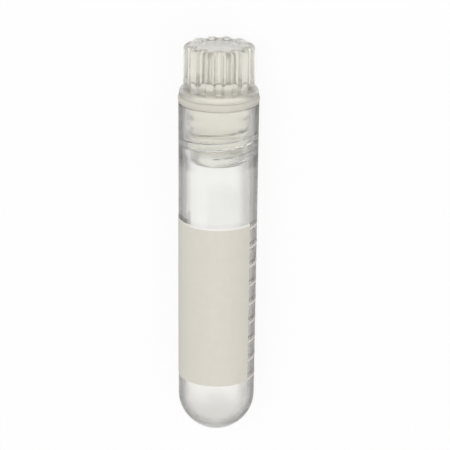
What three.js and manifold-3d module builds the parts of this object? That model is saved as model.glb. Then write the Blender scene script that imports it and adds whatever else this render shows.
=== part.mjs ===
// A round-bottomed cryogenic vial with an internally threaded screw cap and a silicone sealing ring.
// It lies on its side: its axis runs along +Y, with the round bottom at -Y and the cap at +Y.
// Heights are measured along the axis from the outside of the round bottom. All sizes are millimetres.
import * as THREE from "three";
import { mergeVertices } from "three/addons/utils/BufferGeometryUtils.js";
import Module from "manifold-3d";

// The tube: a moulding with a slight draft, so it is widest at its rim.
const RIM_HEIGHT = 54.9;
const RIM_RADIUS = 6.25;
const BOTTOM_RADIUS = 6.06;
const BORE_RADIUS = 4.95;
const MOUTH_CHAMFER = 0.3;

// The thread: right-handed and coarse. The tube's ridge points inwards and the plug's outwards.
// In the closed vial each runs midway between the turns of the other. Both start at the same angle, in
// degrees from straight up, which is a corner of the polygons.
const PITCH = 2.4;
const TUBE_THREAD_LOW = 46.5;
const PLUG_THREAD_LOW = TUBE_THREAD_LOW + PITCH / 2;
const THREAD_TURNS = 1.35;
const THREAD_START = -25;
const RIDGE_FOOT = 1.4;
const RIDGE_CREST = 0.7;
const RIDGE_ROOTED = 0.3;
const RIDGE_RUN_OUT = 0.12;
const SOCKET_FLOOR = 44.6;
const SOCKET_TAPER = 2.6;
const SOCKET_RADIUS = 5.25;
const TUBE_CREST_RADIUS = 4.7;
const PLUG_CREST_RADIUS = 5.0;

// The sealing ring, squeezed between the tube's rim and the cap's flange until its edge bulges.
const RING_HEIGHT = 1.0;
const RING_BULGE_RADIUS = 6.35;
const RING_EDGE_RADIUS = 6.22;
const RING_HOLE_RADIUS = 4.75;
const SEAT_GAP = 0.05;

// The cap's plug, which goes down inside the tube. It is solid but for a shallow hollow in its end.
const PLUG_LOW = 45.4;
const PLUG_CORE_RADIUS = 4.4;
const PLUG_LAND_LOW = 51.7;
const PLUG_LAND_RADIUS = 4.95;
const PLUG_LAND_HIGH = 54.85;
const PLUG_NECK_RADIUS = 4.55;
const HOLLOW_RADIUS = 3.0;
const HOLLOW_HIGH = 47.6;

// The cap's flange and its fluted knob.
const FLANGE_RADIUS = 6.17;
const FLANGE_THICKNESS = 1.05;
const FLANGE_EDGE = 0.5;
const CAP_HIGH = 63.95;
const KNOB_RADIUS = 5.63;
const KNOB_TOP_RADIUS = 5.58;
const SHOULDER = 1.0;
const FLUTES = 12;
const FLUTE_DEPTH = 0.85;
const FLUTE_WALL_TOP = -0.6;
const FLUTE_WALL_FOOT = 0.7;
const RECESS_RADIUS = 3.3;
const RECESS_DRAFT = 0.05;
const RECESS_DEPTH = 0.2;

// Round surfaces are polygons whose flats lie at the stated radius, with one flat facing straight down.
const SIDES = 36;
const FLUTE_SIDES = 8;

const RING_LOW = RIM_HEIGHT + SEAT_GAP;
const RING_HIGH = RING_LOW + RING_HEIGHT;
const FLANGE_LOW = RING_HIGH + SEAT_GAP;
const FLANGE_HIGH = FLANGE_LOW + FLANGE_THICKNESS;

const wasm = await Module();
wasm.setup();

const at = (radius, height) => new THREE.Vector2(radius, height);

// Points of an arc in a section, with angles from the outward direction towards the cap.
function arc(radius, height, size, from, to, steps) {
  const points = [];
  for (let i = 0; i <= steps; i++) {
    const angle = THREE.MathUtils.degToRad(THREE.MathUtils.lerp(from, to, i / steps));
    points.push(at(radius + size * Math.cos(angle), height + size * Math.sin(angle)));
  }
  return points;
}

// A half section turned about the axis. It starts and ends on the axis, or closes on itself.
function turned(section, sides = SIDES) {
  const corner = 1 / Math.cos(Math.PI / sides);
  const corners = section.map((p) => at(p.x * corner, p.y));
  return new THREE.LatheGeometry(corners, sides, Math.PI / sides);
}

// A helix round the axis whose frame stays radial. Its section shrinks to nothing at both ends.
class ThreadPath extends THREE.Curve {
  constructor(radius, low, turns, smallest) {
    super();
    this.radius = radius / Math.cos(Math.PI / SIDES);
    this.low = low;
    this.turns = turns;
    this.smallest = smallest;
  }

  angleAt(t) {
    return THREE.MathUtils.degToRad(THREAD_START + 360 * this.turns * t);
  }

  getPoint(t, target = new THREE.Vector3()) {
    const height = this.low + PITCH * this.turns * t;
    return target.setFromCylindricalCoords(this.radius, this.angleAt(t), height);
  }

  computeFrenetFrames(steps) {
    const frames = { tangents: [], normals: [], binormals: [] };
    for (let i = 0; i <= steps; i++) {
      const t = i / steps;
      const rise = Math.min(t, 1 - t) / RIDGE_RUN_OUT;
      const size = THREE.MathUtils.lerp(this.smallest, 1, Math.min(rise, 1));
      const outward = new THREE.Vector3().setFromCylindricalCoords(1, this.angleAt(t), 0);
      const binormal = new THREE.Vector3(0, -1, 0);
      frames.tangents.push(new THREE.Vector3().crossVectors(outward, binormal));
      frames.normals.push(outward.multiplyScalar(size));
      frames.binormals.push(binormal);
    }
    return frames;
  }
}

// A thread ridge that grows from a wall at one radius to its crest at another.
function ridge(wallRadius, crestRadius, low) {
  const inOrOut = Math.sign(crestRadius - wallRadius);
  const tall = Math.abs(crestRadius - wallRadius) + RIDGE_ROOTED;
  const section = new THREE.Shape([
    at(0, -RIDGE_FOOT / 2),
    at(inOrOut * tall, -RIDGE_CREST / 2),
    at(inOrOut * tall, RIDGE_CREST / 2),
    at(0, RIDGE_FOOT / 2),
  ]);
  const path = new ThreadPath(
    wallRadius - inOrOut * RIDGE_ROOTED,
    low,
    THREAD_TURNS,
    (0.5 * RIDGE_ROOTED) / tall,
  );
  const steps = Math.round(SIDES * THREAD_TURNS);
  return new THREE.ExtrudeGeometry(section, { steps, bevelEnabled: false, extrudePath: path });
}

// How far the flutes reach in at an angle about the axis: 1 along a flute's floor, 0 along a rib.
// A flute's wall lies where the wave, 1 in a flute's middle and -1 in a rib's, is between two values.
function notch(angle) {
  const wave = Math.cos(FLUTES * angle);
  return THREE.MathUtils.smoothstep(wave, FLUTE_WALL_TOP, FLUTE_WALL_FOOT);
}

// Sinks the flutes into a turned knob, down to the flange. The recess stays round.
function fluted(geometry) {
  const position = geometry.getAttribute("position");
  const shoulderInner = KNOB_TOP_RADIUS - SHOULDER;
  for (let i = 0; i < position.count; i++) {
    const x = position.getX(i);
    const z = position.getZ(i);
    const radius = Math.hypot(x, z);
    if (radius < shoulderInner) continue;
    const scale = (radius - FLUTE_DEPTH * notch(Math.atan2(x, z))) / radius;
    position.setX(i, x * scale);
    position.setZ(i, z * scale);
  }
  return geometry;
}

// A closed geometry as a solid that can be joined and cut.
function solid(geometry) {
  const bare = geometry.clone();
  bare.deleteAttribute("normal");
  bare.deleteAttribute("uv");
  const merged = mergeVertices(bare, 1e-4);
  return new wasm.Manifold(
    new wasm.Mesh({
      numProp: 3,
      vertProperties: merged.getAttribute("position").array,
      triVerts: new Uint32Array(merged.index.array),
    }),
  );
}

function geometryOf(manifold) {
  const { vertProperties, triVerts } = manifold.getMesh();
  const geometry = new THREE.BufferGeometry();
  geometry.setAttribute("position", new THREE.BufferAttribute(vertProperties, 3));
  geometry.setIndex(new THREE.BufferAttribute(triVerts, 1));
  geometry.computeVertexNormals();
  return geometry;
}

function vialTube() {
  const body = turned([
    at(0, 0),
    ...arc(0, BOTTOM_RADIUS, BOTTOM_RADIUS, -81, 0, 9),
    at(RIM_RADIUS, RIM_HEIGHT),
    at(SOCKET_RADIUS + MOUTH_CHAMFER, RIM_HEIGHT),
    at(SOCKET_RADIUS, RIM_HEIGHT - MOUTH_CHAMFER),
    at(SOCKET_RADIUS, SOCKET_FLOOR + SOCKET_TAPER),
    at(BORE_RADIUS, SOCKET_FLOOR),
    ...arc(0, BOTTOM_RADIUS, BORE_RADIUS, 0, -81, 9),
    at(0, BOTTOM_RADIUS - BORE_RADIUS),
  ]);
  const thread = ridge(SOCKET_RADIUS, TUBE_CREST_RADIUS, TUBE_THREAD_LOW);
  return geometryOf(solid(body).add(solid(thread)));
}

function sealingRing() {
  const middle = (RING_LOW + RING_HIGH) / 2;
  return turned([
    at(RING_HOLE_RADIUS, RING_LOW),
    at(RING_EDGE_RADIUS, RING_LOW),
    at(RING_BULGE_RADIUS, middle - RING_HEIGHT / 4),
    at(RING_BULGE_RADIUS, middle + RING_HEIGHT / 4),
    at(RING_EDGE_RADIUS, RING_HIGH),
    at(RING_HOLE_RADIUS, RING_HIGH),
    at(RING_HOLE_RADIUS, RING_LOW),
  ]);
}

function knob() {
  const section = [
    at(0, FLANGE_LOW + FLANGE_EDGE),
    at(KNOB_RADIUS, FLANGE_LOW + FLANGE_EDGE),
    at(KNOB_RADIUS, FLANGE_HIGH),
    ...arc(KNOB_TOP_RADIUS - SHOULDER, CAP_HIGH - SHOULDER, SHOULDER, 0, 90, 4),
    at(RECESS_RADIUS + RECESS_DRAFT, CAP_HIGH),
    at(RECESS_RADIUS, CAP_HIGH - RECESS_DEPTH),
    at(0, CAP_HIGH - RECESS_DEPTH),
  ];
  return fluted(turned(section, FLUTES * FLUTE_SIDES));
}

function flangeAndPlug() {
  return turned([
    at(0, PLUG_LOW),
    at(PLUG_CORE_RADIUS, PLUG_LOW),
    at(PLUG_CORE_RADIUS, PLUG_LAND_LOW - PLUG_LAND_RADIUS + PLUG_CORE_RADIUS),
    at(PLUG_LAND_RADIUS, PLUG_LAND_LOW),
    at(PLUG_LAND_RADIUS, PLUG_LAND_HIGH),
    at(PLUG_NECK_RADIUS, PLUG_LAND_HIGH),
    at(PLUG_NECK_RADIUS, FLANGE_LOW),
    at(FLANGE_RADIUS, FLANGE_LOW),
    ...arc(FLANGE_RADIUS - FLANGE_EDGE, FLANGE_HIGH - FLANGE_EDGE, FLANGE_EDGE, 0, 90, 4),
    at(0, FLANGE_HIGH),
  ]);
}

function plugHollow() {
  return turned([
    at(0, PLUG_LOW - 1),
    at(HOLLOW_RADIUS, PLUG_LOW - 1),
    at(HOLLOW_RADIUS, HOLLOW_HIGH),
    at(0, HOLLOW_HIGH),
  ]);
}

function screwCap() {
  const thread = ridge(PLUG_CORE_RADIUS, PLUG_CREST_RADIUS, PLUG_THREAD_LOW);
  return geometryOf(
    solid(knob()).add(solid(flangeAndPlug())).add(solid(thread)).subtract(solid(plugHollow())),
  );
}

function piece(name, geometry, material) {
  const mesh = new THREE.Mesh(geometry, new THREE.MeshStandardMaterial(material));
  mesh.name = name;
  return mesh;
}

const vial = new THREE.Group();
vial.add(piece("vial_tube", vialTube(), { color: 0xe4e4dd, roughness: 0.22, metalness: 0 }));
vial.add(piece("sealing_ring", sealingRing(), { color: 0xdcd9cc, roughness: 0.5, metalness: 0 }));
vial.add(piece("screw_cap", screwCap(), { color: 0xe0dfd4, roughness: 0.15, metalness: 0 }));
vial.position.set(0, -CAP_HIGH / 2, RING_BULGE_RADIUS);

export default vial;
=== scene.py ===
"""A round-bottomed freezer vial in clear plastic, lying on a white table with its cap screwed in."""

import math

import bmesh
import bpy
from mathutils import Matrix, Vector


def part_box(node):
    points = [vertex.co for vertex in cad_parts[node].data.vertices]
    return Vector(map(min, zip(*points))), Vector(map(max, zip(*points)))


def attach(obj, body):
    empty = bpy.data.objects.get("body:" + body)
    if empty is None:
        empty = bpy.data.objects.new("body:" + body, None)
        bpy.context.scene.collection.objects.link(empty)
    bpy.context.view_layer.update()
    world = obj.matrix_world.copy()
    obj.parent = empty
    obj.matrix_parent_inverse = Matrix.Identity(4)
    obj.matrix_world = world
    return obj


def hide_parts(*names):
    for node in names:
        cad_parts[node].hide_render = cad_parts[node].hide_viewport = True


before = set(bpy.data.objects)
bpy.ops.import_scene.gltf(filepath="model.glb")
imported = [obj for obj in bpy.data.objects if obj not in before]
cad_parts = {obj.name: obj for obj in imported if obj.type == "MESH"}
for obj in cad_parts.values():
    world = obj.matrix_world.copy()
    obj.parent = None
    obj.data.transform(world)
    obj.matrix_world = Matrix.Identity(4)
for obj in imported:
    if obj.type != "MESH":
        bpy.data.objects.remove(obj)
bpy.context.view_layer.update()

# Sizes are millimetres. Heights are measured along the axis, from where it leaves the round bottom.
MM = 0.001
HAIR = 1e-6  # a length that counts as nothing
TUBE_LOW, TUBE_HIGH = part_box("vial_tube")
RING_LOW, RING_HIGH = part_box("sealing_ring")
CAP_LOW, CAP_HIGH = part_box("screw_cap")
POLE = TUBE_LOW.y  # metres, the axis's place where it leaves the round bottom
AXIS = (RING_LOW.z + RING_HIGH.z) / 2  # metres, how high the axis lies

# Tube
RIM = (TUBE_HIGH.y - POLE) / MM
RIM_RADIUS = TUBE_HIGH.x / MM
MOUTH_CHAMFER = 0.3
BOTTOM_RADIUS = 6.06
BORE_RADIUS = 4.95
SOCKET_RADIUS = 5.25
SOCKET_FLOOR = 44.6
SOCKET_TAPER = 2.6
SOCKET_FILLET = 6.0

# Thread, as in the solids. A wall is the two radii that it lies between.
PITCH = 2.4
TUBE_THREAD_LOW = 46.5
PLUG_THREAD_LOW = TUBE_THREAD_LOW + PITCH / 2
THREAD_START = -25.0  # degrees from straight up
THREAD_TURNS = 1.35
RUN_OUT = 0.16  # of a turn
RIDGE_FOOT = 1.4
RIDGE_CREST = 0.7
TUBE_RIDGE = 0.55
PLUG_RIDGE = 0.6
TUBE_RIDGE_WALL = (5.0, 5.6)
PLUG_RIDGE_WALL = (4.0, 4.6)

# Sealing ring
RING_FROM = (RING_LOW.y - POLE) / MM
RING_TO = (RING_HIGH.y - POLE) / MM
RING_BULGE = RING_HIGH.x / MM
RING_EDGE = 6.22
RING_HOLE = 4.75
RING_SEATING = 0.04  # how far it reaches into the gap on each side of it

# Cap
PLUG_END = (CAP_LOW.y - POLE) / MM
CAP_TOP = (CAP_HIGH.y - POLE) / MM
FLANGE_RADIUS = CAP_HIGH.x / MM
FLANGE_FROM = 56.0
FLANGE_TO = 57.05
FLANGE_DRAFT = 0.05
PLUG_RADIUS = 4.4
LAND_RADIUS = 4.95
LAND_FOOT = 51.15
LAND_FROM = 51.7
LAND_TOP = 54.85
LAND_EDGE = 0.03
NECK_RADIUS = 4.55
HOLLOW_RADIUS = 3.0
HOLLOW_DRAFT = 0.1
HOLLOW_TOP = 47.6
KNOB_RADIUS = 5.63
KNOB_TOP_RADIUS = 5.58
SHOULDER = 1.0
RECESS_RADIUS = 3.3
RECESS_DRAFT = 0.05
RECESS_DEPTH = 0.2
RECESS_LIP = 0.2
FLUTES = 12
FLUTE_DEPTH = 0.85
FLUTE_FOOT = 0.12
FLUTE_WALL = (-0.6, 0.7)  # the cosine of the angle round a flute, where its wall starts and where it ends

# Print on the tube: a writing patch, and graduations along one side of it. Angles are from straight up.
PATCH_FROM, PATCH_TO = 9.45, 36.15
PATCH_ANGLES = (-116.0, 54.0)
# A painted highlight runs along the patch's upper end: how wide it is, and how much of that it takes to
# come up
PATCH_HIGHLIGHT = 0.45
HIGHLIGHT_EDGE = 0.3  # of the painted highlight band, which it takes to reach its full tone
MARKS = 9
MARKS_FROM = 9.67
MARK_SPACING = 3.2
MARK_WIDTH = 0.34
MARK_ANGLES = (54.5, 106.0)
INK_THICKNESS = 0.025
INK_GAP = 0.006

# How finely the meshes are cut
TURNED_SIDES = 240
FLUTE_SIDES = 24
FILLET_STEP = 9.0  # degrees
BOTTOM_STEPS = 48
BORE_STEPS = 40
SHOULDER_STEPS = 14
THREAD_STEP = 0.045
TUBE_CUT_TO = 52.0
TUBE_CUT_WALL = (4.9, 5.7)
PLUG_CUT_TO = 51.2
KNOB_STEP = 0.12
FLUTE_FOOT_ROW = 0.05  # the first row above the flange
KNOB_CUT_WALL = (5.0, 6.0)
PRINT_CUTS = (121, 9, 2)  # corners round the tube, along it and through the ink
SHARP_EDGE = 40.0  # degrees

# Roughness of the plastics: all over, and what some places add to it
TUBE_ROUGHNESS = 0.13
THREAD_HAZE = 0.05
BOTTOM_HAZE = 0.08
RIM_HAZE = 0.6
CAP_ROUGHNESS = 0.06
FLANGE_HAZE = 0.3
PLUG_HAZE = 0.03
MILKY_HAZE = 0.03
FLOW_HAZE = 0.02

# Where those places lie. A pair is where a change starts and where it is complete.
THREAD_SKIN = 0.4
THREAD_EASE = 1.5
BOTTOM_EASE = 2.0
RIM_SKIN = 0.03
FLANGE_HAZE_FROM = 54.6
FLANGE_HAZE_FADE = 2.4
BOTTOM_TINT = (12.0, 4.0)
KNOB_TINT_RISE = 0.4
FLOW_FROM = (3.0, 12.0)
PATCH_SHADE_TURN = (-75.0, -15.0)  # degrees, over which the patch loses its painted shade, a cooler tone on the side that turns away
HIGHLIGHT_TURN = (-65.0, -30.0)  # degrees, over which the painted highlight along the patch's upper end comes up
FAR_HIGHLIGHT_SHARE = 0.15

# Studio. The plastic sees painted shade on the table in strips, each from where it starts to where it is
# darkest.
FLOOR_GAP = 0.03
FLOOR_REACH = 0.5  # metres
FLOOR_WHITE = (0.93, 0.93, 0.93)
PLAIN_SHARE = 0.9  # of the floor's look that has no shadow in it
WHITE = (1.0, 1.0, 1.0)
LEFT_STRIP = (-6.5, -8.0)
RIGHT_STRIP = (3.4, 7.8)
STRIP_OUTER_END = (14.0, 25.0)
STRIP_TOP_END = (53.0, 57.0)
PAINTED_SHADE_COLOUR = (1.0, 0.98, 0.93)
PAINTED_SHADE_TONE = 0.34
LOWER_STRIP_SHARE = 0.88  # of the painted shade, below the plug
PLUG_STRIP_FROM = (43.0, 47.0)
END_STRIP = (6.0, -4.0)
END_STRIP_SHARE = 0.37
SOFTBOX_SIZE = 0.4  # metres
CAMERA_TILT = 19.98  # degrees off straight down
CAMERA_SWING = 0.202  # degrees
CAMERA_ROLL = 0.588  # degrees
CAMERA_LENS = 176.0
CAMERA_ALONG = 152.8
CAMERA_RISE = 325.3  # above the axis


# ---------------------------------------------------------------- node trees as expressions


class Wire:
    """An output socket whose arithmetic adds Math nodes to its tree."""

    def __init__(self, graph, socket):
        self.graph = graph
        self.socket = socket

    def out(self, name):
        return Wire(self.graph, self.socket.node.outputs[name])

    def math(self, operation, *others):
        return self.graph.math(operation, self, *others)

    def __add__(self, other):
        return self.graph.math("ADD", self, other)

    def __radd__(self, other):
        return self.graph.math("ADD", other, self)

    def __sub__(self, other):
        return self.graph.math("SUBTRACT", self, other)

    def __rsub__(self, other):
        return self.graph.math("SUBTRACT", other, self)

    def __mul__(self, other):
        return self.graph.math("MULTIPLY", self, other)

    def __rmul__(self, other):
        return self.graph.math("MULTIPLY", other, self)

    def __truediv__(self, other):
        return self.graph.math("DIVIDE", self, other)

    def __rtruediv__(self, other):
        return self.graph.math("DIVIDE", other, self)

    def __pow__(self, other):
        return self.graph.math("POWER", self, other)

    def __gt__(self, other):
        return self.graph.math("GREATER_THAN", self, other)

    def __lt__(self, other):
        return self.graph.math("LESS_THAN", self, other)


class Graph:
    """A node tree that is written as expressions."""

    def __init__(self, tree):
        self.tree = tree
        self.tree.nodes.clear()

    def add(self, kind, settings=None, inputs=None):
        """A new node, with its settings made before its sockets are filled. Gives its first output.

        Colours come without alpha.
        """
        node = self.tree.nodes.new(kind)
        for name, value in (settings or {}).items():
            setattr(node, name, value)
        for name, value in (inputs or {}).items():
            socket = node.inputs[name]
            if isinstance(value, Wire):
                self.tree.links.new(value.socket, socket)
            elif socket.type == "RGBA":
                socket.default_value = (*value, 1.0)
            else:
                socket.default_value = value
        return Wire(self, node.outputs[0]) if node.outputs else None

    def math(self, operation, *values):
        return self.add("ShaderNodeMath", {"operation": operation}, dict(enumerate(values)))

    def smooth(self, value, low, high, to_low=0.0, to_high=1.0):
        """value's place between low and high, eased, as a number from to_low to to_high."""
        return self.add(
            "ShaderNodeMapRange",
            {"interpolation_type": "SMOOTHSTEP"},
            {"Value": value, "From Min": low, "From Max": high, "To Min": to_low, "To Max": to_high},
        )

    def mix(self, share, first, second):
        """A colour between two colours."""
        return self.add("ShaderNodeMix", {"data_type": "RGBA"}, {0: share, 6: first, 7: second}).out(2)

    def around_axis(self, place):
        """A place's radius, height, angle from straight up, and offset from the axis in metres."""
        parts = self.add("ShaderNodeSeparateXYZ", None, {0: place})
        x = parts.out("X")
        z = parts.out("Z") - AXIS
        radius = (x * x + z * z).math("SQRT") / MM
        height = (parts.out("Y") - POLE) / MM
        return radius, height, x.math("ARCTAN2", z), (x, z)


# ---------------------------------------------------------------- mesh tools


def dome(radius, centre, start, end, steps):
    """Points of an arc about a place on the axis, by degrees from the outward direction towards the cap."""
    turns = [math.radians(start + (end - start) * i / steps) for i in range(steps + 1)]
    return [(radius * math.cos(a), centre + radius * math.sin(a), 0.0) for a in turns]


def rounded(corners):
    """The points of a section whose corners are (radius, height, fillet), each fillet made an arc."""
    points = []
    count = len(corners)
    for i, (r, h, fillet) in enumerate(corners):
        here = Vector((r, h))
        if not fillet:
            points.append(here)
            continue
        before = (Vector(corners[i - 1][:2]) - here).normalized()
        after = (Vector(corners[(i + 1) % count][:2]) - here).normalized()
        half = before.angle(after) / 2
        reach = fillet / math.tan(half)
        centre = here + (before + after).normalized() * fillet / math.sin(half)
        start = here + before * reach - centre
        end = here + after * reach - centre
        steps = max(2, round((180 - math.degrees(2 * half)) / FILLET_STEP))
        points += [centre + start.slerp(end, k / steps).normalized() * fillet for k in range(steps + 1)]
    return points


def divided(points, low, high, step, wall):
    """points with every stretch that lies between two heights, and in a wall, cut into short steps."""
    result = [points[0]]
    for a, b in zip(points, points[1:]):
        crossed = [(h - a.y) / (b.y - a.y) for h in (low, high) if (h - a.y) * (h - b.y) < 0]
        ends = [a, *(a.lerp(b, share) for share in sorted(crossed)), b]
        for c, d in zip(ends, ends[1:]):
            level = low - HAIR <= min(c.y, d.y) and max(c.y, d.y) <= high + HAIR
            inside = level and wall[0] < min(c.x, d.x) and max(c.x, d.x) < wall[1]
            pieces = math.ceil((d - c).length / step) if inside else 1
            result += [c.lerp(d, k / pieces) for k in range(1, pieces + 1)]
    return result


def turned(name, points, sides, closed=False):
    """A section turned about the vial's axis, as a closed mesh with its faces pointing out."""
    mesh = bpy.data.meshes.new(name)
    shape = bmesh.new()
    rows = []
    for r, h in points:
        if r < HAIR:
            rows.append([shape.verts.new((0.0, POLE + h * MM, AXIS))] * sides)
            continue
        row = []
        for k in range(sides):
            angle = 2 * math.pi * k / sides
            place = (r * MM * math.sin(angle), POLE + h * MM, AXIS + r * MM * math.cos(angle))
            row.append(shape.verts.new(place))
        rows.append(row)
    if closed:
        rows.append(rows[0])
    for low, high in zip(rows, rows[1:]):
        for k in range(sides):
            n = (k + 1) % sides
            corners = [low[k], low[n], high[n], high[k]]
            unique = [v for i, v in enumerate(corners) if v not in corners[:i]]
            shape.faces.new(unique)
    if shape.calc_volume(signed=True) < 0:
        bmesh.ops.reverse_faces(shape, faces=shape.faces)
    shape.to_mesh(mesh)
    shape.free()
    piece = bpy.data.objects.new(name, mesh)
    bpy.context.scene.collection.objects.link(piece)
    return piece


class Maker(Graph):
    """A Geometry Nodes tree with named inputs, which changes one piece and is then made plain."""

    def __init__(self, name):
        tree = bpy.data.node_groups.new(name, "GeometryNodeTree")
        tree.interface.new_socket("Geometry", in_out="INPUT", socket_type="NodeSocketGeometry")
        tree.interface.new_socket("Geometry", in_out="OUTPUT", socket_type="NodeSocketGeometry")
        super().__init__(tree)
        self.entry = tree.nodes.new("NodeGroupInput")
        self.exit = tree.nodes.new("NodeGroupOutput")
        self.values = {}

    def named(self, name, value, kind="NodeSocketFloat"):
        """A named input of the tree, and the value that this piece gives it."""
        item = self.tree.interface.new_socket(name, in_out="INPUT", socket_type=kind)
        self.values[item.identifier] = value
        return Wire(self, self.entry.outputs[name])

    def geometry(self):
        return Wire(self, self.entry.outputs["Geometry"])

    def place(self):
        """Where each point of the piece is."""
        return self.add("GeometryNodeInputPosition")

    def pushed(self, geometry, outward):
        """geometry with its points moved away from the axis by outward millimetres."""
        radius, _, _, (x, z) = self.around_axis(self.place())
        share = outward / radius
        offset = self.add("ShaderNodeCombineXYZ", None, {"X": x * share, "Y": 0.0, "Z": z * share})
        return self.add("GeometryNodeSetPosition", None, {"Geometry": geometry, "Offset": offset})

    def finish(self, geometry, piece, material):
        """Ends the tree, runs it on the piece and leaves the piece a plain mesh."""
        whole = self.add("GeometryNodeRealizeInstances", None, {"Geometry": geometry})
        coloured = self.add("GeometryNodeSetMaterial", None, {"Geometry": whole, "Material": material})
        self.tree.links.new(coloured.socket, self.exit.inputs[0])
        modifier = piece.modifiers.new(self.tree.name, "NODES")
        modifier.node_group = self.tree
        for identifier, value in self.values.items():
            modifier[identifier] = value
        view = bpy.context.evaluated_depsgraph_get()
        plain = bpy.data.meshes.new_from_object(piece.evaluated_get(view))
        plain.name = piece.name
        piece.modifiers.remove(modifier)
        piece.data = plain
        plain.materials.clear()
        plain.materials.append(material)
        plain.shade_smooth()
        return piece


def threaded(maker, geometry, low, ridge, wall):
    """A thread ridge grown from the wall that lies between two radii."""
    start = maker.named("Thread low", low)
    pitch = maker.named("Pitch", PITCH)
    turns = maker.named("Turns", THREAD_TURNS)
    tall = maker.named("Ridge", ridge)
    foot = maker.named("Foot", RIDGE_FOOT / 2)
    crest = maker.named("Crest", RIDGE_CREST / 2)
    radius, height, angle, _ = maker.around_axis(maker.place())
    turned_by = ((angle - math.radians(THREAD_START)) / math.tau).math("FRACT")
    turn = ((height - start) / pitch - turned_by).math("ROUND")
    along = turn + turned_by
    aside = (height - start - along * pitch).math("ABSOLUTE")
    profile = maker.smooth(aside, crest, foot, 1.0, 0.0)
    ends = maker.smooth(along, 0.0, RUN_OUT) * maker.smooth(turns - along, 0.0, RUN_OUT)
    chosen = (radius > wall[0]) * (radius < wall[1])
    return maker.pushed(geometry, tall * profile * ends * chosen)


def fluted(maker, geometry):
    """Flutes sunk into the knob, each ending in a rounded foot on the flange."""
    flutes = maker.named("Flutes", FLUTES)
    depth = maker.named("Flute depth", FLUTE_DEPTH)
    foot = maker.named("Flute foot", FLUTE_FOOT)
    radius, height, angle, _ = maker.around_axis(maker.place())
    notch = maker.smooth((angle * flutes).math("COSINE"), *FLUTE_WALL)
    risen = ((height - FLANGE_TO) / foot).math("MAXIMUM", 0.0).math("MINIMUM", 1.0)
    footing = (1.0 - (1.0 - risen) ** 2.0).math("SQRT")
    inwards = maker.smooth(radius, RECESS_RADIUS + RECESS_LIP, KNOB_TOP_RADIUS - SHOULDER, 0.0, -1.0)
    return maker.pushed(geometry, depth * notch * footing * inwards * (height > FLANGE_TO))


# ---------------------------------------------------------------- materials


def new_material(name):
    """A new material, with its graph and the coordinates that its patterns read."""
    material = bpy.data.materials.new(name)
    material.use_nodes = True
    graph = Graph(material.node_tree)
    return material, graph, graph.add("ShaderNodeTexCoord").out("Object")


def noise(graph, place, scale, detail):
    return graph.add("ShaderNodeTexNoise", None, {"Vector": place, "Scale": scale, "Detail": detail})


def bump(graph, height, depth, strength):
    inputs = {"Strength": strength, "Distance": depth * MM, "Height": height}
    return graph.add("ShaderNodeBump", None, inputs)


def tube_finish(graph, radius, height):
    """The tube is a little hazy, more so on its thread and its round bottom, and matt on its rim."""
    thread = graph.smooth(height, SOCKET_FLOOR, SOCKET_FLOOR + THREAD_EASE) * (height < LAND_FROM)
    inner = radius < SOCKET_RADIUS + THREAD_SKIN
    bottom = graph.smooth(height, BOTTOM_RADIUS + BOTTOM_EASE, BOTTOM_RADIUS - BOTTOM_EASE)
    rim = height > RIM - RIM_SKIN
    return TUBE_ROUGHNESS + THREAD_HAZE * thread * inner + BOTTOM_HAZE * bottom + RIM_HAZE * rim


def cap_finish(graph, _, height):
    """The mould polished the knob, and left its foot and the flange matt, and the thread a little hazy."""
    foot = graph.smooth(height, FLANGE_TO, FLANGE_TO + FLANGE_HAZE_FADE, 1.0, 0.0)
    matt = (height > FLANGE_HAZE_FROM) * foot
    return CAP_ROUGHNESS + FLANGE_HAZE * matt + PLUG_HAZE * (height < LAND_FROM)


def tube_tint(graph, height, milky):
    """The tube is a little warmer towards its round bottom than along its wall."""
    wall = graph.mix(milky, (0.995, 0.995, 0.993), (0.97, 0.97, 0.962))
    return graph.mix(graph.smooth(height, *BOTTOM_TINT), wall, (0.985, 0.977, 0.962))


def cap_tint(graph, height, milky):
    """The thick knob is greyer than the flange and the plug."""
    thin = graph.mix(milky, (0.995, 0.99, 0.96), (0.98, 0.975, 0.94))
    knob = graph.smooth(height, FLANGE_TO, FLANGE_TO + KNOB_TINT_RISE)
    return graph.mix(knob, thin, (0.85, 0.85, 0.825))


def moulded_plastic(name, tint, finish, absorbed, clearness, coat_ior):
    """Natural polypropylene: milky in drifting patches, with faint flow marks along the moulding."""
    material, graph, place = new_material(name)
    radius, height, _, _ = graph.around_axis(place)
    milky = graph.smooth(noise(graph, place, 160.0, 3.0), 0.35, 0.7)
    drawn_out = graph.add("ShaderNodeMapping", None, {"Vector": place, "Scale": (1.0, 0.15, 1.0)})
    flow = noise(graph, drawn_out, 500.0, 2.0)
    shader = graph.add(
        "ShaderNodeBsdfPrincipled",
        {"distribution": "MULTI_GGX"},
        {
            "Base Color": tint(graph, height, milky),
            "Roughness": finish(graph, radius, height) + MILKY_HAZE * milky + FLOW_HAZE * flow,
            "IOR": 1.49,
            "Transmission Weight": clearness,
            "Coat Weight": 1.0,
            "Coat IOR": coat_ior,
            "Coat Roughness": 0.04,
            "Normal": bump(graph, flow * graph.smooth(height, *FLOW_FROM), 0.01, 0.3),
        },
    )
    inside = graph.add("ShaderNodeVolumeAbsorption", None, {"Color": absorbed, "Density": 300.0})
    graph.add("ShaderNodeOutputMaterial", None, {"Surface": shader, "Volume": inside})
    return material


def silicone():
    """Milky silicone rubber with a fine matt grain."""
    material, graph, place = new_material("silicone")
    grain = noise(graph, place, 2500.0, 3.0)
    cloud = noise(graph, place, 300.0, 2.0)
    shader = graph.add(
        "ShaderNodeBsdfPrincipled",
        {"distribution": "MULTI_GGX"},
        {
            "Base Color": graph.mix(cloud, (0.84, 0.81, 0.73), (0.89, 0.86, 0.78)),
            "Roughness": 0.35 + 0.12 * grain,
            "IOR": 1.41,
            "Transmission Weight": 0.35,
            "Normal": bump(graph, grain, 0.01, 0.4),
        },
    )
    graph.add("ShaderNodeOutputMaterial", None, {"Surface": shader})
    return material


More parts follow.
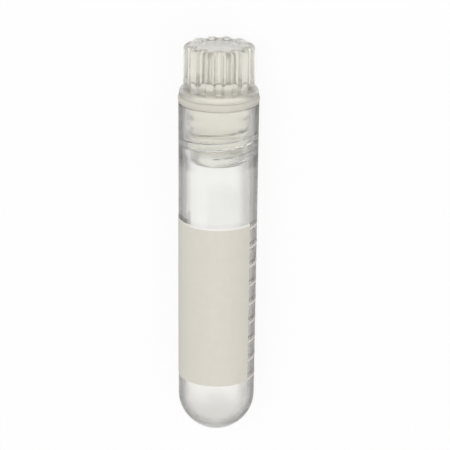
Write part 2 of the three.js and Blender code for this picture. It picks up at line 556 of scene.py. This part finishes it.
def ink(name, thin_colour, full_colour, painted_light=None):
    """Pale screen-printed ink, a little uneven where the screen left it thinner.

    The last argument, if given, paints light and shade onto the colour from place to place.
    """
    material, graph, place = new_material(name)
    cover = graph.smooth(noise(graph, place, 700.0, 4.0), 0.2, 0.7)
    colour = graph.mix(cover, thin_colour, full_colour)
    if painted_light:
        colour = painted_light(graph, place, colour)
    weave = noise(graph, place, 6000.0, 1.0)
    shader = graph.add(
        "ShaderNodeBsdfPrincipled",
        {"distribution": "MULTI_GGX"},
        {
            "Base Color": colour,
            "Roughness": 0.5 + 0.15 * weave,
            "Normal": bump(graph, weave, 0.005, 0.4),
        },
    )
    graph.add("ShaderNodeOutputMaterial", None, {"Surface": shader})
    return material


def paint_patch_light(graph, place, colour):
    """Painted light on the patch: painted shade makes it cooler on its far side, and a painted highlight
    makes it paler along its upper end.
    """
    _, height, turn, _ = graph.around_axis(place)
    angle = turn.math("DEGREES")
    # painted shade: the side of the patch that turns away is painted a cooler, greener tone
    shaded_side = graph.mix(graph.smooth(angle, *PATCH_SHADE_TURN), (0.68, 0.672, 0.6), colour)
    # painted highlight: a pale band along the patch's upper end, faint on its far side
    highlight_low = PATCH_TO - PATCH_HIGHLIGHT
    painted_highlight = graph.smooth(height, highlight_low, highlight_low + HIGHLIGHT_EDGE * PATCH_HIGHLIGHT)
    near = graph.smooth(angle, *HIGHLIGHT_TURN, FAR_HIGHLIGHT_SHARE, 1.0)
    return graph.mix(painted_highlight * near, shaded_side, (0.85, 0.83, 0.8))


# ---------------------------------------------------------------- pieces


def make_tube():
    section = [
        *dome(BOTTOM_RADIUS, BOTTOM_RADIUS, -90, 0, BOTTOM_STEPS),
        (RIM_RADIUS, RIM, 0.06),
        (SOCKET_RADIUS + MOUTH_CHAMFER, RIM, 0.12),
        (SOCKET_RADIUS, RIM - MOUTH_CHAMFER, 0.15),
        (SOCKET_RADIUS, SOCKET_FLOOR + SOCKET_TAPER, SOCKET_FILLET),
        (BORE_RADIUS, SOCKET_FLOOR, SOCKET_FILLET),
        *dome(BORE_RADIUS, BOTTOM_RADIUS, 0, -90, BORE_STEPS),
    ]
    points = divided(rounded(section), SOCKET_FLOOR, TUBE_CUT_TO, THREAD_STEP, TUBE_CUT_WALL)
    tube = turned("tube", points, TURNED_SIDES)
    maker = Maker("threaded tube")
    grown = threaded(maker, maker.geometry(), TUBE_THREAD_LOW, -TUBE_RIDGE, TUBE_RIDGE_WALL)
    plastic = moulded_plastic(
        "tube polypropylene",
        tube_tint,
        tube_finish,
        absorbed=(0.955, 0.952, 0.925),
        clearness=1.0,
        coat_ior=1.5,
    )
    return maker.finish(grown, tube, plastic)


def make_ring():
    low = RING_FROM - RING_SEATING
    high = RING_TO + RING_SEATING
    section = [
        (RING_HOLE, low, 0.1),
        (RING_EDGE, low, 0.06),
        (RING_BULGE, (low + high) / 2, 0.5),
        (RING_EDGE, high, 0.15),
        (RING_HOLE, high, 0.1),
    ]
    ring = turned("sealing_gasket", rounded(section), TURNED_SIDES, closed=True)
    maker = Maker("sealing ring")
    return maker.finish(maker.geometry(), ring, silicone())


def make_cap():
    shoulder = [
        (KNOB_TOP_RADIUS - SHOULDER + r, CAP_TOP - SHOULDER + h, 0.0)
        for r, h, _ in dome(SHOULDER, 0.0, 90, 0, SHOULDER_STEPS)
    ]
    section = [
        (0.0, CAP_TOP - RECESS_DEPTH, 0.0),
        (RECESS_RADIUS, CAP_TOP - RECESS_DEPTH, 0.15),
        (RECESS_RADIUS + RECESS_DRAFT, CAP_TOP, 0.12),
        *shoulder,
        (KNOB_RADIUS, FLANGE_TO, 0.06),
        (FLANGE_RADIUS - FLANGE_DRAFT, FLANGE_TO, 0.5),
        (FLANGE_RADIUS, FLANGE_FROM, 0.08),
        (NECK_RADIUS, FLANGE_FROM, 0.2),
        (NECK_RADIUS, LAND_TOP + LAND_EDGE, 0.05),
        (LAND_RADIUS, LAND_TOP, 0.05),
        (LAND_RADIUS, LAND_FROM, 0.2),
        (PLUG_RADIUS, LAND_FOOT, 0.25),
        (PLUG_RADIUS, PLUG_END, 0.25),
        (HOLLOW_RADIUS, PLUG_END, 0.2),
        (HOLLOW_RADIUS - HOLLOW_DRAFT, HOLLOW_TOP, 0.7),
        (0.0, HOLLOW_TOP, 0.0),
    ]
    points = divided(rounded(section), PLUG_END, PLUG_CUT_TO, THREAD_STEP, PLUG_RIDGE_WALL)
    points = divided(points, FLANGE_TO + FLUTE_FOOT_ROW, CAP_TOP - SHOULDER, KNOB_STEP, KNOB_CUT_WALL)
    cap = turned("cap", points, FLUTES * FLUTE_SIDES)
    maker = Maker("fluted and threaded cap")
    grown = threaded(maker, maker.geometry(), PLUG_THREAD_LOW, PLUG_RIDGE, PLUG_RIDGE_WALL)
    plastic = moulded_plastic(
        "cap polypropylene",
        cap_tint,
        cap_finish,
        absorbed=(0.985, 0.976, 0.945),
        clearness=0.88,
        coat_ior=1.8,
    )
    return maker.finish(fluted(maker, grown), cap, plastic)


def make_print(name, lowest, count, spacing, tall, angles, material):
    """Fields of ink on the tube: equal bands between two angles. lowest is the first one's middle."""
    start = bpy.data.objects.new(name, bpy.data.meshes.new(name))
    bpy.context.scene.collection.objects.link(start)
    maker = Maker(name)
    bands = maker.named("Bands", count, "NodeSocketInt")
    apart = maker.named("Spacing", spacing)
    height = maker.named("Band height", tall)
    first = maker.named("First angle", math.radians(angles[0]))
    last = maker.named("Last angle", math.radians(angles[1]))
    thick = maker.named("Ink thickness", INK_THICKNESS)
    step = maker.add("ShaderNodeCombineXYZ", None, {"X": 0.0, "Y": apart, "Z": 0.0})
    middle = maker.add("ShaderNodeCombineXYZ", None, {"X": (first + last) * 0.5, "Y": lowest, "Z": 0.0})
    placing = {"Count": bands, "Start Location": middle, "Offset": step}
    line = maker.add("GeometryNodeMeshLine", {"mode": "OFFSET"}, placing)
    size = maker.add("ShaderNodeCombineXYZ", None, {"X": last - first, "Y": height, "Z": thick})
    cuts = {f"Vertices {side}": number for side, number in zip("XYZ", PRINT_CUTS)}
    slab = maker.add("GeometryNodeMeshCube", None, {"Size": size, **cuts})
    copies = maker.add("GeometryNodeInstanceOnPoints", None, {"Points": line, "Instance": slab})
    flat = maker.add("GeometryNodeRealizeInstances", None, {"Geometry": copies})
    parts = maker.add("ShaderNodeSeparateXYZ", None, {0: maker.place()})
    slope = (RIM_RADIUS - BOTTOM_RADIUS) / (RIM - BOTTOM_RADIUS)
    surface = BOTTOM_RADIUS + slope * (parts.out("Y") - BOTTOM_RADIUS)
    radius = (surface + parts.out("Z") + INK_GAP + 0.5 * INK_THICKNESS) * MM
    wrapped = maker.add(
        "ShaderNodeCombineXYZ",
        None,
        {
            "X": radius * parts.out("X").math("SINE"),
            "Y": parts.out("Y") * MM + POLE,
            "Z": radius * parts.out("X").math("COSINE") + AXIS,
        },
    )
    bent = maker.add("GeometryNodeSetPosition", None, {"Geometry": flat, "Position": wrapped})
    printed = maker.finish(bent, start, material)
    printed.data.set_sharp_from_angle(angle=math.radians(SHARP_EDGE))
    return printed


def make_patch():
    tall = PATCH_TO - PATCH_FROM
    material = ink("writing patch ink", (0.675, 0.637, 0.565), (0.695, 0.655, 0.581), paint_patch_light)
    return make_print("writing_patch", (PATCH_FROM + PATCH_TO) / 2, 1, 1.0, tall, PATCH_ANGLES, material)


def make_graduations():
    material = ink("graduation ink", (0.68, 0.66, 0.6), (0.76, 0.74, 0.68))
    return make_print("graduations", MARKS_FROM, MARKS, MARK_SPACING, MARK_WIDTH, MARK_ANGLES, material)


# ---------------------------------------------------------------- studio


def background_rays(graph):
    """1 for rays from the camera, and for rays that mirror or clear surfaces send on."""
    path = graph.add("ShaderNodeLightPath")
    sent_on = (path.out("Is Glossy Ray") + path.out("Is Transmission Ray")).math("MINIMUM", 1.0)
    return path.out("Is Camera Ray"), sent_on


def make_floor():
    """A white table top. The plastic sees painted shade on it beside the vial and beyond its round bottom.
    """
    mesh = bpy.data.meshes.new("floor")
    signs = [(-1, -1), (1, -1), (1, 1), (-1, 1)]
    corners = [(x * FLOOR_REACH, y * FLOOR_REACH, -FLOOR_GAP * MM) for x, y in signs]
    mesh.from_pydata(corners, [], [(0, 1, 2, 3)])
    floor = bpy.data.objects.new("floor", mesh)
    bpy.context.scene.collection.objects.link(floor)
    material, graph, place = new_material("white table")
    direct, sent_on = background_rays(graph)
    parts = graph.add("ShaderNodeSeparateXYZ", None, {0: place})
    aside = parts.out("X") / MM
    height = (parts.out("Y") - POLE) / MM
    # painted shade: darker strips beside the vial and beyond its round bottom, seen only by rays that the
    # plastic sends on
    beside = graph.smooth(aside, *RIGHT_STRIP) + graph.smooth(aside, *LEFT_STRIP)
    beside = beside * graph.smooth(height, *PLUG_STRIP_FROM, LOWER_STRIP_SHARE, 1.0)
    beside = beside * graph.smooth(height, *STRIP_TOP_END, 1.0, 0.0)
    beyond = END_STRIP_SHARE * graph.smooth(height, *END_STRIP)
    fade = graph.smooth(aside.math("ABSOLUTE"), *STRIP_OUTER_END, 1.0, 0.0)
    painted_shade = beside.math("MAXIMUM", beyond) * fade
    white = graph.add("ShaderNodeEmission", None, {"Color": WHITE, "Strength": 1.0})
    shade_emission = graph.add("ShaderNodeEmission", None, {"Color": PAINTED_SHADE_COLOUR, "Strength": PAINTED_SHADE_TONE})
    seen = graph.add("ShaderNodeMixShader", None, {0: painted_shade * sent_on, 1: white, 2: shade_emission})
    matt = graph.add("ShaderNodeBsdfDiffuse", None, {"Color": FLOOR_WHITE})
    both = graph.add("ShaderNodeMixShader", None, {0: PLAIN_SHARE * direct + sent_on, 1: matt, 2: seen})
    graph.add("ShaderNodeOutputMaterial", None, {"Surface": both})
    mesh.materials.append(material)


def make_world():
    world = bpy.data.worlds.new("studio")
    world.use_nodes = True
    bpy.context.scene.world = world
    graph = Graph(world.node_tree)
    direct, sent_on = background_rays(graph)
    soft = graph.add("ShaderNodeBackground", None, {"Color": WHITE, "Strength": 0.6})
    white = graph.add("ShaderNodeBackground", None, {"Color": WHITE, "Strength": 1.0})
    both = graph.add("ShaderNodeMixShader", None, {0: direct + sent_on, 1: soft, 2: white})
    graph.add("ShaderNodeOutputWorld", None, {"Surface": both})


def add_softbox(name, place, power):
    """A square lamp that shines on the vial, and that the plastic neither mirrors nor lets through."""
    lamp = bpy.data.lights.new(name, "AREA")
    lamp.size = SOFTBOX_SIZE
    lamp.energy = power
    box = bpy.data.objects.new(name, lamp)
    box.location = place
    box.rotation_euler = (Vector((0, 0, AXIS)) - Vector(place)).to_track_quat("-Z", "Y").to_euler()
    box.visible_glossy = False
    box.visible_transmission = False
    bpy.context.scene.collection.objects.link(box)


def make_camera():
    """Looks down on the lying vial from beyond its cap."""
    tilt, swing, roll = (math.radians(a) for a in (CAMERA_TILT, CAMERA_SWING, CAMERA_ROLL))
    ahead = Vector((math.sin(swing) * math.cos(tilt), -math.sin(tilt), -math.cos(swing) * math.cos(tilt)))
    right = Vector((math.cos(swing), 0.0, math.sin(swing)))
    up = right.cross(ahead)
    side = math.cos(roll) * right + math.sin(roll) * up
    top = -math.sin(roll) * right + math.cos(roll) * up
    turn = Matrix((side, top, -ahead)).transposed().to_4x4()
    lens = bpy.data.cameras.new("camera")
    lens.lens = CAMERA_LENS
    camera = bpy.data.objects.new("camera", lens)
    place = (0.0, POLE + CAMERA_ALONG * MM, AXIS + CAMERA_RISE * MM)
    camera.matrix_world = Matrix.Translation(place) @ turn
    bpy.context.scene.collection.objects.link(camera)
    bpy.context.scene.camera = camera


def settle(piece, body, slot, *nodes):
    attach(piece, body)
    if nodes:
        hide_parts(*nodes)


make_camera()
make_floor()
make_world()
add_softbox("key", (-0.12, 0.15, 0.55), 1.3)
add_softbox("fill", (0.25, -0.2, 0.45), 0.4)

settle(make_tube(), "tube", "tube_plastic", "vial_tube")
settle(make_ring(), "ring", "ring_silicone", "sealing_ring")
settle(make_cap(), "cap", "cap_plastic", "screw_cap")
settle(make_patch(), "tube", "printed_ink")
settle(make_graduations(), "tube", "printed_ink")

bpy.context.scene.view_settings.view_transform = "Standard"
